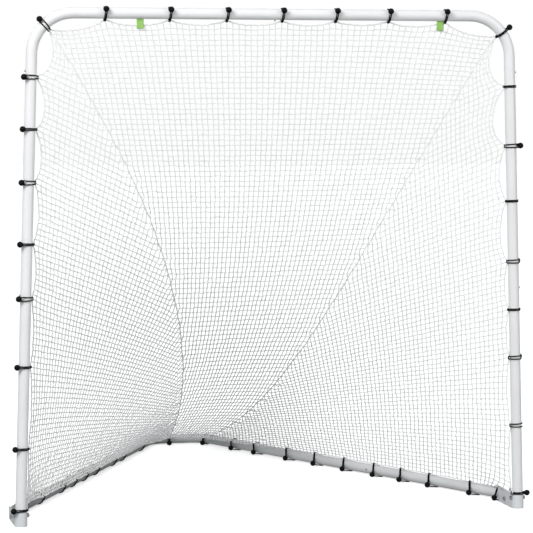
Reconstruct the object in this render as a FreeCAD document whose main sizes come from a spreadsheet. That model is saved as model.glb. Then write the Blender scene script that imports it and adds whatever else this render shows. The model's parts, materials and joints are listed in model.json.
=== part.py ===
"""Folding practice goal: a steel tube mouth, a V shaped ground base that folds up, and a slack net.

Millimetres. X runs across the mouth, Y from the mouth to the back of the base, Z up.
The origin is on the ground, under the middle of the whole goal.
"""

import FreeCAD, Part
import Sketcher
import math
import os

Vector = FreeCAD.Vector
Rotation = FreeCAD.Rotation
Placement = FreeCAD.Placement
X_AXIS, Y_AXIS, Z_AXIS = Vector(1, 0, 0), Vector(0, 1, 0), Vector(0, 0, 1)

document = FreeCAD.newDocument("folding_goal")

# Driving dimensions: alias, value, meaning.
DIMENSIONS = [
    ("tube_radius", 20.0, "outside radius of every frame tube"),
    ("tube_wall", 1.5, "wall of the frame tube"),
    ("bar_height", 1839.0, "crossbar axis above the ground"),
    ("bar_half", 885.0, "half the mouth at the crossbar, axis to middle"),
    ("foot_half", 936.0, "half the mouth at the ground, axis to middle"),
    ("foot_rise", 60.0, "height where the post leaves the vertical"),
    ("foot_bend", 300.0, "radius of the slight bend above the foot"),
    ("corner_bend", 152.0, "radius of the top corner bends"),
    ("elbow_joint", 245.0, "from the top corner down to the elbow joint"),
    ("middle_joint", 1046.0, "from the top corner down to the middle joint"),
    ("bar_joint", -40.0, "place of the crossbar joint along X"),
    ("cap_rim", 2.0, "thickness of a tube cap's rim"),
    ("set_back", -956.3, "the posts' plane along Y"),
    ("base_height", 24.5, "base tube axis and pivot above the ground"),
    ("pivot_back", 80.0, "pivot behind the post axis"),
    ("leg_nose", 12.0, "leg tube in front of the pivot"),
    ("leg_corner", 200.0, "where the legs turn inward, behind the post axis"),
    ("leg_bend", 150.0, "radius of the legs' bend"),
    ("base_joint", 808.0, "from the legs' corner to the base joint"),
    ("base_depth", 1930.0, "back tube axis behind the post axis"),
    ("back_half", 116.0, "half the back tube, corner to middle"),
    ("back_bend", 100.0, "radius of the two back bends"),
    ("sleeve_gap", 0.1, "between a joint sleeve and its tubes"),
    ("sleeve_length", 140.0, "length of a joint sleeve"),
    ("button_radius", 4.0, "snap button stem"),
    ("button_set", 38.0, "snap button from its joint"),
    ("button_stands", 5.4, "snap button above the tube"),
    ("button_play", 0.08, "radial play round a snap button"),
    ("button_foot", 6.0, "snap button foot, inside the sleeve"),
    ("button_seat", 14.6, "underside of a snap button from the tube axis"),
    ("button_step", 1.0, "thickness of a snap button's foot"),
    ("spring_thick", 0.8, "leaf spring strip"),
    ("spring_tip", 7.0, "leaf spring leg past its button"),
    ("spring_length", 53.0, "leaf spring from its button to its bend"),
    ("spring_width", 8.0, "leaf spring strip across"),
    ("strap_inside", 20.7, "inside half width of a foot bracket"),
    ("strap_thick", 2.0, "steel of a foot bracket"),
    ("strap_height", 50.0, "height of a foot bracket"),
    ("strap_back", 167.0, "back edge of a foot bracket"),
    ("strap_corner", 8.0, "rounding of a foot bracket's upper back corners"),
    ("bolt_radius", 4.0, "shank of every bolt"),
    ("bolt_hex", 7.5, "corner radius of bolt heads and nuts"),
    ("bolt_head", 5.3, "height of bolt heads"),
    ("nut_height", 6.5, "height of the nuts"),
    ("post_bolt_height", 40.0, "post bolt above the ground"),
    ("cord_radius", 2.2, "bungee cord"),
    ("cord_gap", 0.05, "between a bungee cord and its tube"),
    ("ball_radius", 11.0, "bungee ball"),
    ("net_inset", 42.0, "from the tube axes to the net's edge"),
    ("net_thick", 0.8, "thickness of the plain net panels"),
    ("net_foot", 34.0, "lowest row of the net"),
    ("border_below", 61.0, "upper border cord below the crossbar axis"),
    ("border_beside", 34.0, "side border cords from the post axes"),
    ("tag_width", 26.0, "tape tag along the bar"),
    ("tag_height", 32.0, "tape tag up and down"),
    ("tag_thick", 2.0, "tape tag"),
]

sheet = document.addObject("Spreadsheet::Sheet", "sizes")
for row, (alias, value, meaning) in enumerate(DIMENSIONS, start=1):
    sheet.set("A%d" % row, alias)
    sheet.set("B%d" % row, str(value))
    sheet.set("C%d" % row, meaning)
    sheet.setAlias("B%d" % row, alias)
document.recompute()


def size(alias):
    """A driving dimension, read back from the sheet."""
    return float(sheet.get(alias))


tube = size("tube_radius")
bore = tube - size("tube_wall")
set_back = size("set_back")
pivot = Vector(0, size("pivot_back"), size("base_height"))

# The posts lean outward a little on their way down.
post_rise = size("bar_height") - size("foot_rise")
lean = math.degrees(math.atan2(size("foot_half") - size("bar_half"), post_rise))
post_slope = post_rise / math.cos(math.radians(lean))
corner_turn = 90.0 - lean
corner_tangent = size("corner_bend") * math.tan(math.radians(corner_turn / 2))
foot_tangent = size("foot_bend") * math.tan(math.radians(lean / 2))

# The base legs run in toward the back.
leg_run = size("base_depth") - size("leg_corner")
leg_turn = math.degrees(math.atan2(size("foot_half") - size("back_half"), leg_run))
leg_slope = leg_run / math.cos(math.radians(leg_turn))
leg_tangent = size("leg_bend") * math.tan(math.radians(leg_turn / 2))
back_turn = 90.0 - leg_turn
back_tangent = size("back_bend") * math.tan(math.radians(back_turn / 2))

SIDES = (("left", -1), ("right", 1))
nodes = {}


# ---------------------------------------------------------------- places


def on_goal(x, y, z, rotation=Rotation()):
    """A placement measured from the middle of the mouth, on the ground."""
    return Placement(Vector(x, y + set_back, z), rotation)


def post_turn(side):
    """Turns +Z to run up the post, with +X pointing into the mouth."""
    inward = Rotation(Z_AXIS, 0 if side < 0 else 180)
    return Rotation(Y_AXIS, -side * lean).multiply(inward)


def on_post(side, from_corner):
    """A place on a post's axis, measured down from the top corner."""
    drop = math.radians(lean)
    x = size("bar_half") + from_corner * math.sin(drop)
    z = size("bar_height") - from_corner * math.cos(drop)
    return on_goal(side * x, 0, z, post_turn(side))


def leg_frame(side):
    """Turns +Z to run back along Y, with +X pointing inward."""
    return Rotation(X_AXIS, -90).multiply(Rotation(Z_AXIS, 0 if side < 0 else 180))


def on_leg(side, from_corner):
    """A place on the sloping part of a base leg, with +Z running back along it."""
    turn = math.radians(leg_turn)
    x = size("foot_half") - from_corner * math.sin(turn)
    y = size("leg_corner") + from_corner * math.cos(turn)
    rotation = Rotation(Z_AXIS, side * leg_turn).multiply(leg_frame(side))
    return on_goal(side * x, y, size("base_height"), rotation)


def on_leg_bend(side, turn):
    """A place on a base leg's bend, so many degrees past its start."""
    radius = size("leg_bend")
    inward = radius * (1 - math.cos(math.radians(turn)))
    y = size("leg_corner") - leg_tangent + radius * math.sin(math.radians(turn))
    rotation = Rotation(Z_AXIS, side * turn).multiply(leg_frame(side))
    return on_goal(side * (size("foot_half") - inward), y, size("base_height"), rotation)


def on_back_bend(turn):
    """A place on the right back bend, so many degrees past the straight back."""
    ahead = math.radians(turn)
    x = size("back_half") - back_tangent + size("back_bend") * math.sin(ahead)
    y = size("base_depth") - size("back_bend") * (1 - math.cos(ahead))
    rotation = Rotation(Z_AXIS, -turn).multiply(Rotation(Y_AXIS, 90))
    return on_goal(x, y, size("base_height"), rotation)


def on_bar(x):
    """A place on the crossbar, with +Z running along +X and +X pointing down."""
    return on_goal(x, 0, size("bar_height"), Rotation(Y_AXIS, 90))


# ---------------------------------------------------------------- making


def keep(label, item, placement=None):
    """Names a finished sub-part, which becomes a node of that name."""
    item.Label = label
    if placement is not None:
        item.Placement = placement
    nodes[label] = item
    return item


def plane(body, role):
    """One of a body's own origin planes."""
    return [item for item in body.Origin.OriginFeatures if item.Role == role][0]


def sketch_on(body, role, name):
    sketch = body.newObject("Sketcher::SketchObject", name)
    sketch.AttachmentSupport = [(plane(body, role), "")]
    sketch.MapMode = "FlatFace"
    return sketch


def ring_sketch(body, name, expressions):
    """Circles about the origin of the XY plane, each radius bound to the sheet."""
    sketch = sketch_on(body, "XY_Plane", name)
    for expression in expressions:
        circle = sketch.addGeometry(Part.Circle(Vector(), Z_AXIS, 10), False)
        sketch.addConstraint(Sketcher.Constraint("Coincident", circle, 3, -1, 1))
        radius = sketch.addConstraint(Sketcher.Constraint("Radius", circle, 10))
        sketch.setExpression("Constraints[%d]" % radius, expression)
    return sketch


def outline_sketch(body, role, name, points):
    """A closed outline through points given as pairs of expressions."""
    sketch = sketch_on(body, role, name)
    corners = []
    for across, up in points:
        corners.append(Vector(float(sheet.evalExpression(across)), float(sheet.evalExpression(up)), 0))
    for number, corner in enumerate(corners):
        following = corners[(number + 1) % len(corners)]
        sketch.addGeometry(Part.LineSegment(corner, following), False)
    for number, (across, up) in enumerate(points):
        last = (number - 1) % len(points)
        sketch.addConstraint(Sketcher.Constraint("Coincident", last, 2, number, 1))
        corner = corners[number]
        for kind, text, here in (("DistanceX", across, corner.x), ("DistanceY", up, corner.y)):
            held = sketch.addConstraint(Sketcher.Constraint(kind, -1, 1, number, 1, here))
            sketch.setExpression("Constraints[%d]" % held, text)
    return sketch


def straight_tube(name, outside, inside, length):
    """A tube along +Z from the origin."""
    body = document.addObject("PartDesign::Body", name)
    document.recompute()
    section = ring_sketch(body, name + "_section", [outside, inside])
    pad = body.newObject("PartDesign::Pad", name + "_pad")
    pad.Profile = section
    pad.setExpression("Length", length)
    document.recompute()
    return body


def bent_tube(name, runs, bends):
    """A frame tube from the origin up +Z, turning toward +X at each bend.

    runs are the straight lengths, and bends are (radius alias, degrees) between them.
    """
    body = document.addObject("PartDesign::Body", name)
    document.recompute()
    rings = ["sizes.tube_radius", "sizes.tube_radius - sizes.tube_wall"]
    section = ring_sketch(body, name + "_section", rings)
    path = sketch_on(body, "XZ_Plane", name + "_path")
    here = Vector()
    heading = 0.0
    joins = []
    for number, run in enumerate(runs):
        ahead = Vector(math.sin(math.radians(heading)), math.cos(math.radians(heading)), 0)
        there = here + ahead * run
        path.addGeometry(Part.LineSegment(here, there), False)
        here = there
        if number == len(bends):
            break
        joins.append(here)
        alias, turn = bends[number]
        radius = size(alias)
        to_centre = Vector(ahead.y, -ahead.x, 0) * radius
        centre = here + to_centre
        middle = centre - Rotation(Z_AXIS, -turn / 2).multVec(to_centre)
        end = centre - Rotation(Z_AXIS, -turn).multVec(to_centre)
        arc = path.addGeometry(Part.Arc(here, middle, end), False)
        bound = path.addConstraint(Sketcher.Constraint("Radius", arc, radius))
        path.setExpression("Constraints[%d]" % bound, "sizes." + alias)
        joins.append(end)
        here = end
        heading += turn
    for edge, place in enumerate(joins):
        one, other = nearest_point(path, edge, place), nearest_point(path, edge + 1, place)
        path.addConstraint(Sketcher.Constraint("Coincident", edge, one, edge + 1, other))
    document.recompute()
    pipe = body.newObject("PartDesign::AdditivePipe", name + "_pipe")
    pipe.Profile = section
    pipe.Spine = (path, ["Edge%d" % (number + 1) for number in range(len(joins) + 1)])
    document.recompute()
    return body


def nearest_point(path, curve, place):
    """Which end of a sketch curve, 1 or 2, lies at a place."""
    return min((1, 2), key=lambda point: path.getPoint(curve, point).sub(place).Length)


def pin(name, radius, length, placement):
    """A plain cylinder whose radius and length follow the sheet."""
    cylinder = document.addObject("Part::Cylinder", name)
    cylinder.setExpression("Radius", radius)
    cylinder.setExpression("Height", length)
    cylinder.Placement = placement
    return cylinder


def drilled(name, item, holes):
    """Cuts round holes: each is a radius, a length, a start and a direction."""
    drills = []
    for number, (radius, length, start, direction) in enumerate(holes):
        place = Placement(start, Rotation(Z_AXIS, direction))
        drills.append(pin("%s_drill_%d" % (name, number), radius, length, place))
    tool = drills[0]
    if len(drills) > 1:
        tool = document.addObject("Part::MultiFuse", name + "_drills")
        tool.Shapes = drills
    cut = document.addObject("Part::Cut", name + "_drilled")
    cut.Base = item
    cut.Tool = tool
    document.recompute()
    if cut.Shape.Volume > item.Shape.Volume - 1:
        raise RuntimeError(name + ": the drills removed nothing")
    return cut


def group(name, items):
    """Separate solids that share one node."""
    compound = document.addObject("Part::Compound", name + "_group")
    compound.Links = items
    return keep(name, compound)


def turned(name, profile):
    """A body turned about Z from an outline of (radius, height) expressions."""
    body = document.addObject("PartDesign::Body", name)
    document.recompute()
    outline = outline_sketch(body, "XZ_Plane", name + "_outline", profile)
    turn = body.newObject("PartDesign::Revolution", name + "_turn")
    turn.Profile = outline
    turn.ReferenceAxis = (outline, ["V_Axis"])
    turn.Angle = 360
    document.recompute()
    return body


# ---------------------------------------------------------------- tubes

BUTTON_HOLE = "sizes.button_radius + sizes.button_play"
THROUGH_ONE_WALL = "sizes.tube_radius + 5"
OUTWARD = Vector(-1, 0, 0)


def button_hole(along):
    """The hole in one wall, on the side away from the mouth."""
    return (BUTTON_HOLE, THROUGH_ONE_WALL, Vector(0, 0, along), OUTWARD)


def crossbar_half(side_name, side):
    """Half the crossbar, with its corner bend and the top of the post."""
    to_joint = size("bar_half") + side * -size("bar_joint")
    runs = [size("elbow_joint") - corner_tangent, to_joint - corner_tangent]
    name = "crossbar_" + side_name
    item = bent_tube(name, runs, [("corner_bend", corner_turn)])
    holes = [button_hole(size("button_set"))]
    if side > 0:
        bar = Rotation(Y_AXIS, corner_turn)
        corner = Vector(0, 0, size("elbow_joint"))
        start = corner + bar.multVec(Vector(0, 0, to_joint - size("button_set")))
        holes.append((BUTTON_HOLE, THROUGH_ONE_WALL, start, bar.multVec(X_AXIS)))
    keep(name, drilled(name, item, holes), on_post(side, size("elbow_joint")))


def upper_post(side_name, side):
    name = "upper_post_" + side_name
    length = "sizes.middle_joint - sizes.elbow_joint"
    item = straight_tube(name, "sizes.tube_radius", "sizes.tube_radius - sizes.tube_wall", length)
    cut = drilled(name, item, [button_hole(size("button_set"))])
    keep(name, cut, on_post(side, size("middle_joint")))


def lower_post(side_name, side):
    """The bottom of the post, upright where the bracket holds it."""
    name = "lower_post_" + side_name
    upright = size("foot_rise") - size("cap_rim") - foot_tangent
    slope = post_slope - size("middle_joint") - foot_tangent
    item = bent_tube(name, [upright, slope], [("foot_bend", lean)])
    bolt = Vector(-2 * tube, 0, size("post_bolt_height") - size("cap_rim"))
    cut = drilled(name, item, [("sizes.bolt_radius + 0.1", "sizes.tube_radius * 4", bolt, X_AXIS)])
    inward = Rotation(Z_AXIS, 0 if side < 0 else 180)
    keep(name, cut, on_goal(side * size("foot_half"), 0, size("cap_rim"), inward))


def base_leg(side_name, side):
    """The front of one side of the base, from its pivot to the slip joint."""
    name = "base_leg_" + side_name
    nose = size("pivot_back") - size("leg_nose")
    runs = [size("leg_corner") - nose - leg_tangent, size("base_joint") - leg_tangent]
    item = bent_tube(name, runs, [("leg_bend", leg_turn)])
    axle = Vector(-2 * tube, 0, size("leg_nose"))
    slope = Rotation(Y_AXIS, leg_turn)
    corner = Vector(0, 0, size("leg_corner") - nose)
    start = corner + slope.multVec(Vector(0, 0, size("base_joint") - size("button_set")))
    holes = [
        ("sizes.bolt_radius + 0.06", "sizes.tube_radius * 4", axle, X_AXIS),
        (BUTTON_HOLE, THROUGH_ONE_WALL, start, slope.multVec(X_AXIS)),
    ]
    place = on_goal(side * size("foot_half"), nose, size("base_height"), leg_frame(side))
    keep(name, drilled(name, item, holes), place)


def base_rear():
    """The back of the base: both sloping ends and the short straight back."""
    slope = leg_slope - size("base_joint") - back_tangent
    back = 2 * (size("back_half") - back_tangent)
    bends = [("back_bend", back_turn), ("back_bend", back_turn)]
    item = bent_tube("base_rear", [slope, back, slope], bends)
    keep("base_rear", item, on_leg(-1, size("base_joint")))


# ---------------------------------------------------------------- joints


def joint_kit(name, placement, side):
    """A joint's sleeve, snap button and leaf spring; side is where +X goes for the button."""
    half = size("sleeve_length") / 2
    outer = "sizes.tube_radius - sizes.tube_wall - sizes.sleeve_gap"
    inner = outer + " - sizes.tube_wall"
    sleeve = straight_tube(name + "_sleeve", outer, inner, "sizes.sleeve_length")
    toward = Vector(side, 0, 0)
    start = Vector(0, 0, half + size("button_set"))
    hole = (BUTTON_HOLE, THROUGH_ONE_WALL, start, toward)
    start_at = placement.multiply(Placement(Vector(0, 0, -half), Rotation()))
    keep(name + "_sleeve", drilled(name + "_sleeve", sleeve, [hole]), start_at)

    flip = Rotation(Z_AXIS, 0 if side > 0 else 180)
    seat = placement.multiply(Placement(Vector(0, 0, size("button_set")), flip))
    lie_down = Placement(Vector(), Rotation(Y_AXIS, 90))
    keep(name + "_button", snap_button(name + "_button"), seat.multiply(lie_down))
    keep(name + "_spring", leaf_spring(name + "_spring"), seat)


def snap_button(name):
    """A stepped pin: the wide foot stays inside the sleeve."""
    top = "sizes.tube_radius + sizes.button_stands"
    stem = "sizes.button_radius"
    foot = "sizes.button_foot"
    shoulder = "sizes.button_seat + sizes.button_step"
    profile = [
        ("0", "sizes.button_seat"),
        (foot, "sizes.button_seat"),
        (foot, shoulder),
        (stem, shoulder),
        (stem, top + " - sizes.button_radius * 0.55"),
        (stem + " * 0.85", top + " - sizes.button_radius * 0.25"),
        (stem + " * 0.5", top + " - sizes.button_radius * 0.05"),
        ("0", top),
    ]
    return turned(name, profile)


def leaf_spring(name):
    """A strip bent to a V: one leg is under the button, the other on the far wall."""
    body = document.addObject("PartDesign::Body", name)
    document.recompute()
    thick = "sizes.spring_thick"
    under = "sizes.button_seat - 0.2"
    far = "-(sizes.button_seat + 0.4)"
    tip = "sizes.spring_tip"
    outline = [
        (under, "-" + tip),
        (under, tip),
        (under + " - " + thick, tip),
        (under + " - " + thick, "-" + tip + " + 0.5"),
        ("0", "-sizes.spring_length + 3"),
        (far, tip + " - 1"),
        (far + " - " + thick, tip + " - 1"),
        ("-" + thick + " / 2", "-sizes.spring_length"),
        (thick + " / 2", "-sizes.spring_length"),
    ]
    sketch = outline_sketch(body, "XZ_Plane", name + "_outline", outline)
    pad = body.newObject("PartDesign::Pad", name + "_pad")
    pad.Profile = sketch
    pad.setExpression("Length", "sizes.spring_width")
    pad.Midplane = True
    document.recompute()
    return body


# ---------------------------------------------------------------- feet


def foot_bracket(side_name, side):
    """A strap bent round the front of the post, with two plates that run back."""
    name = "foot_bracket_" + side_name
    body = document.addObject("PartDesign::Body", name)
    document.recompute()
    sketch = sketch_on(body, "XY_Plane", name + "_plan")
    inside = size("strap_inside")
    outside = inside + size("strap_thick")
    back = size("strap_back")
    for radius in (outside, inside):
        front = Part.Arc(Vector(radius, 0, 0), Vector(0, -radius, 0), Vector(-radius, 0, 0))
        sketch.addGeometry(front, False)
    for edge in (-1, 1):
        for across in (outside, inside):
            plate = Part.LineSegment(Vector(edge * across, 0, 0), Vector(edge * across, back, 0))
            sketch.addGeometry(plate, False)
        rear = Part.LineSegment(Vector(edge * outside, back, 0), Vector(edge * inside, back, 0))
        sketch.addGeometry(rear, False)
    for arc, text in ((0, "sizes.strap_inside + sizes.strap_thick"), (1, "sizes.strap_inside")):
        bound = sketch.addConstraint(Sketcher.Constraint("Radius", arc, outside if arc == 0 else inside))
        sketch.setExpression("Constraints[%d]" % bound, text)
    pad = body.newObject("PartDesign::Pad", name + "_pad")
    pad.Profile = sketch
    pad.setExpression("Length", "sizes.strap_height")
    document.recompute()
    corners = []
    for number, edge in enumerate(pad.Shape.Edges, start=1):
        box = edge.BoundBox
        short = box.XLength < size("strap_thick") + 0.1 and box.ZLength < 0.1
        if box.YMin > back - 0.1 and short and box.ZMin > 1:
            corners.append("Edge%d" % number)
    rounding = body.newObject("PartDesign::Fillet", name + "_corners")
    rounding.Base = (pad, corners)
    rounding.setExpression("Radius", "sizes.strap_corner")
    document.recompute()
    reach = "sizes.strap_inside * 4"
    wide = Vector(-2 * inside, 0, 0)
    holes = [
        ("sizes.bolt_radius + 0.1", reach, wide + Vector(0, 0, size("post_bolt_height")), X_AXIS),
        ("sizes.bolt_radius + 0.1", reach, wide + pivot, X_AXIS),
    ]
    keep(name, drilled(name, body, holes), on_goal(side * size("foot_half"), 0, 0))


def bolt(name, centre, side):
    """A hexagon bolt along X, its head on the outer side of the bracket."""
    outside = size("strap_inside") + size("strap_thick")
    head = document.addObject("Part::Prism", name + "_head")
    head.Polygon = 6
    head.setExpression("Circumradius", "sizes.bolt_hex")
    head.setExpression("Height", "sizes.bolt_head")
    toward = Rotation(Z_AXIS, Vector(side, 0, 0))
    head.Placement = Placement(centre + Vector(side * outside, 0, 0), toward)
    back = Rotation(Z_AXIS, Vector(-side, 0, 0))
    start = Placement(centre + Vector(side * outside, 0, 0), back)
    length = "2 * (sizes.strap_inside + sizes.strap_thick) + sizes.nut_height + 2"
    shank = pin(name + "_shank", "sizes.bolt_radius", length, start)
    whole = document.addObject("Part::Fuse", name)
    whole.Base = head
    whole.Tool = shank
    return whole


def nut(name, centre, side):
    """A hexagon nut on the inner side of the bracket, clear of the bolt's thread."""
    outside = size("strap_inside") + size("strap_thick")
    start = centre + Vector(-side * outside, 0, 0)
    back = Rotation(Z_AXIS, Vector(-side, 0, 0))
    block = document.addObject("Part::Prism", name + "_block")
    block.Polygon = 6
    block.setExpression("Circumradius", "sizes.bolt_hex")
    block.setExpression("Height", "sizes.nut_height")
    block.Placement = Placement(start, back)
    hole = pin(name + "_hole", "sizes.bolt_radius + 0.05", "sizes.nut_height", Placement(start, back))
    cut = document.addObject("Part::Cut", name)
    cut.Base = block
    cut.Tool = hole
    return cut


def cap(name, hole_at):
    """A plastic cap: a rim on the tube's end and a plug inside it, with a cross hole."""
    plug = "sizes.tube_radius - sizes.tube_wall - sizes.sleeve_gap"
    profile = [
        ("0", "-sizes.cap_rim"),
        ("sizes.tube_radius - 1", "-sizes.cap_rim"),
        ("sizes.tube_radius", "-sizes.cap_rim / 2"),
        ("sizes.tube_radius", "0"),
        (plug, "0"),
        (plug, "20"),
        ("0", "20"),
    ]
    item = turned(name, profile)
    if hole_at is None:
        return item
    start = Vector(-2 * tube, 0, hole_at)
    return drilled(name, item, [("sizes.bolt_radius + 0.1", "sizes.tube_radius * 4", start, X_AXIS)])


# ---------------------------------------------------------------- bungees


def bungee(name, placement, toward):
    """A cord ring round a tube along the placement's Z, and its ball beside it."""
    ring = document.addObject("Part::Torus", name + "_cord")
    ring.setExpression("Radius1", "sizes.tube_radius + sizes.cord_radius + sizes.cord_gap")
    ring.setExpression("Radius2", "sizes.cord_radius")
    ring.Placement = placement
    away = tube + 2 * size("cord_radius") + size("ball_radius") + 0.2
    ball = document.addObject("Part::Sphere", name + "_ball")
    ball.setExpression("Radius", "sizes.ball_radius")
    turn = math.radians(toward)
    side = Vector(math.cos(turn), math.sin(turn), 0) * away
    ball.Placement = placement.multiply(Placement(side, Rotation()))
    return ring, ball


def bungee_row(name, places):
    """One row of bungees: the cords are one node, and the balls are another."""
    pairs = []
    for number, (place, toward) in enumerate(places):
        pairs.append(bungee("%s_%d" % (name, number), place, toward))
    group("bungee_cords_" + name, [cord for cord, ball in pairs])
    group("bungee_balls_" + name, [ball for cord, ball in pairs])


# ---------------------------------------------------------------- net

NET_ROWS = 10
NET_COLUMNS = 6
SEAM_GAP = 0.012

# The seams between the back and side panels hang in a curve. Each row: behind the mouth, above the
# ground, half the back panel's width, and how far its middle is pulled to the right.
SEAM_POINTS = (
    (6, 1767, 825, 0),
    (110, 1350, 575, 20),
    (340, 940, 380, 30),
    (770, 510, 228, 37),
    (1450, 165, 132, 40),
    (1875, 40, 70, 15),
)
KNEE_HEIGHT = 120
KNEE_SHARE = 0.95


def seam_point(side, share):
    """A point of a seam, from its top corner to its back corner."""
    place = share * (len(SEAM_POINTS) - 1)
    number = min(int(place), len(SEAM_POINTS) - 2)
    points = []
    for back, height, half, shift in SEAM_POINTS[number:number + 2]:
        points.append(Vector(side * half + shift, back, height))
    return points[0] + (points[1] - points[0]) * (place - number)


def post_point(side, share):
    """The net's edge beside a post, from the top corner past the bracket to the leg."""
    inset = size("net_inset")
    top = Vector(side * (size("bar_half") - inset), inset * 0.6, size("bar_height") - inset)
    knee = Vector(side * (size("foot_half") - inset), inset * 0.6, KNEE_HEIGHT)
    foot = Vector(side * (size("foot_half") - inset), size("strap_back") + 10, size("net_foot"))
    if share < KNEE_SHARE:
        return top + (knee - top) * (share / KNEE_SHARE)
    return knee + (foot - knee) * ((share - KNEE_SHARE) / (1 - KNEE_SHARE))


def panel_rows(first, second, start_row=0):
    """Rows of points between two edges, kept a little clear of each."""
    rows = []
    for row in range(start_row, NET_ROWS + 1):
        share = row / NET_ROWS
        one, other = first(share), second(share)
        line = []
        for column in range(NET_COLUMNS + 1):
            across = SEAM_GAP + (1 - 2 * SEAM_GAP) * column / NET_COLUMNS
            line.append(one + (other - one) * across)
        rows.append(line)
    return rows


def sheet_solid(rows):
    """A thin closed solid on a grid of points, flat between them."""
    height, width = len(rows), len(rows[0])
    half = size("net_thick") / 2

    def normal(row, column):
        up, down = rows[max(row - 1, 0)][column], rows[min(row + 1, height - 1)][column]
        left, right = rows[row][max(column - 1, 0)], rows[row][min(column + 1, width - 1)]
        return (down - up).cross(right - left).normalize()

    faces = []

    def triangle(one, two, three):
        faces.append(Part.Face(Part.makePolygon([one, two, three, one])))

    lift = [[normal(row, column) * half for column in range(width)] for row in range(height)]
    front = [[rows[r][c] + lift[r][c] for c in range(width)] for r in range(height)]
    rear = [[rows[r][c] - lift[r][c] for c in range(width)] for r in range(height)]
    for r in range(height - 1):
        for c in range(width - 1):
            for skin in (front, rear):
                triangle(skin[r][c], skin[r + 1][c], skin[r + 1][c + 1])
                triangle(skin[r][c], skin[r + 1][c + 1], skin[r][c + 1])
    rim = [(0, c) for c in range(width)] + [(r, width - 1) for r in range(1, height)]
    rim += [(height - 1, c) for c in range(width - 2, -1, -1)] + [(r, 0) for r in range(height - 2, 0, -1)]
    for number, (r, c) in enumerate(rim):
        next_r, next_c = rim[(number + 1) % len(rim)]
        triangle(front[r][c], rear[r][c], rear[next_r][next_c])
        triangle(front[r][c], rear[next_r][next_c], front[next_r][next_c])
    solid = Part.Solid(Part.Shell(faces))
    if solid.Volume < 0:
        solid.reverse()
    return solid


def net_panel(name, rows):
    item = document.addObject("Part::Feature", name + "_panel")
    item.Shape = sheet_solid(rows)
    keep(name, item, on_goal(0, 0, 0))


def edge_cord(name, ends):
    """A straight stretch of border cord between two points."""
    along = ends[1] - ends[0]
    item = document.addObject("Part::Cylinder", name + "_run")
    item.setExpression("Radius", "sizes.cord_radius")
    item.Height = along.Length
    keep(name, item, on_goal(*ends[0], Rotation(Z_AXIS, along)))


def tag(name, x):
    """A strip of tape folded over the net's edge, just under the crossbar."""
    box = document.addObject("Part::Box", name)
    box.setExpression("Length", "sizes.tag_width")
    box.setExpression("Width", "sizes.tag_thick")
    box.setExpression("Height", "sizes.tag_height")
    under_bar = size("bar_height") - tube - size("tag_height") - 3
    corner = on_goal(x - size("tag_width") / 2, -size("tag_thick") / 2, under_bar)
    box.Placement = corner
    return box


# ---------------------------------------------------------------- the goal

for side_name, side in SIDES:
    crossbar_half(side_name, side)
    upper_post(side_name, side)
    lower_post(side_name, side)
    foot_bracket(side_name, side)
    base_leg(side_name, side)
    joint_kit("elbow_" + side_name, on_post(side, size("elbow_joint")), -1)
    joint_kit("post_" + side_name, on_post(side, size("middle_joint")), -1)
    back_along = Placement(Vector(), Rotation(Y_AXIS, 180))
    joint_kit("base_" + side_name, on_leg(side, size("base_joint")).multiply(back_along), -1)
base_rear()
joint_kit("crossbar", on_bar(size("bar_joint")), 1)

feet = [(side, Vector(side * size("foot_half"), set_back, 0)) for side_name, side in SIDES]
post_hole = Vector(0, 0, size("post_bolt_height"))
for name, make, hole in (
    ("post_bolt", bolt, post_hole),
    ("post_nut", nut, post_hole),
    ("pivot_bolt", bolt, pivot),
    ("pivot_nut", nut, pivot),
):
    pair = [make("%s_%d" % (name, n), foot + hole, side) for n, (side, foot) in enumerate(feet)]
    group(name + "s", pair)

post_caps = []
leg_caps = []
for side_name, side in SIDES:
    post_cap = cap("post_cap_" + side_name, None)
    post_cap.Placement = on_goal(side * size("foot_half"), 0, size("cap_rim"))
    post_caps.append(post_cap)
    leg_cap = cap("leg_cap_" + side_name, size("leg_nose"))
    nose = size("pivot_back") - size("leg_nose")
    leg_cap.Placement = on_goal(side * size("foot_half"), nose, size("base_height"), leg_frame(side))
    leg_caps.append(leg_cap)
group("post_caps", post_caps)
group("leg_caps", leg_caps)

# Bungee stations, tied by hand at uneven steps: place along the tube, and where the ball sits.
BAR_STATIONS = (-625, -390, -180, 25, 225, 425, 640)
POST_STATIONS = {
    -1: (1610, 1425, 1235, 1015, 820, 575, 280, 58),
    1: (1580, 1360, 1155, 930, 750, 570, 315, 58),
}
LEG_STATIONS = {
    -1: (285, 555, 705, 860, 1020, 1275, 1415, 1715),
    1: (145, 385, 555, 720, 910, 1100, 1285, 1505, 1665),
}
BACK_STATION = -40
BACK_TURN = 50.0
CORNER_STATIONS = {-1: 44.0, 1: 35.0}
BALL_ABOVE_BAR = 247.0
BALL_OUTWARD = {-1: 218.0, 1: 170.0}
POST_BALLS = {
    -1: [BALL_OUTWARD[-1]] * 8,
    1: (251.0, 170.0, 251.0, 225.0, 251.0, 225.0, 251.0, 170.0),
}
BALL_LOW = {-1: 158.0, 1: -22.0}
BESIDE_BRACKET = 5.2
BALL_BEFORE_BACK = -68.0


def at_height(side, height):
    """A place on a post's axis at a height above the ground."""
    if height < size("foot_rise"):
        return on_goal(side * size("foot_half"), 0, height, Rotation(Z_AXIS, 0 if side < 0 else 180))
    return on_post(side, (size("bar_height") - height) / math.cos(math.radians(lean)))


def on_corner(side, turn):
    """A place on the top corner's bend, so many degrees up from the post."""
    radius = size("corner_bend")
    across = radius * (1 - math.cos(math.radians(turn)))
    up = size("elbow_joint") - corner_tangent + radius * math.sin(math.radians(turn))
    bend = Placement(Vector(across, 0, up), Rotation(Y_AXIS, turn))
    return on_post(side, size("elbow_joint")).multiply(bend)


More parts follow.
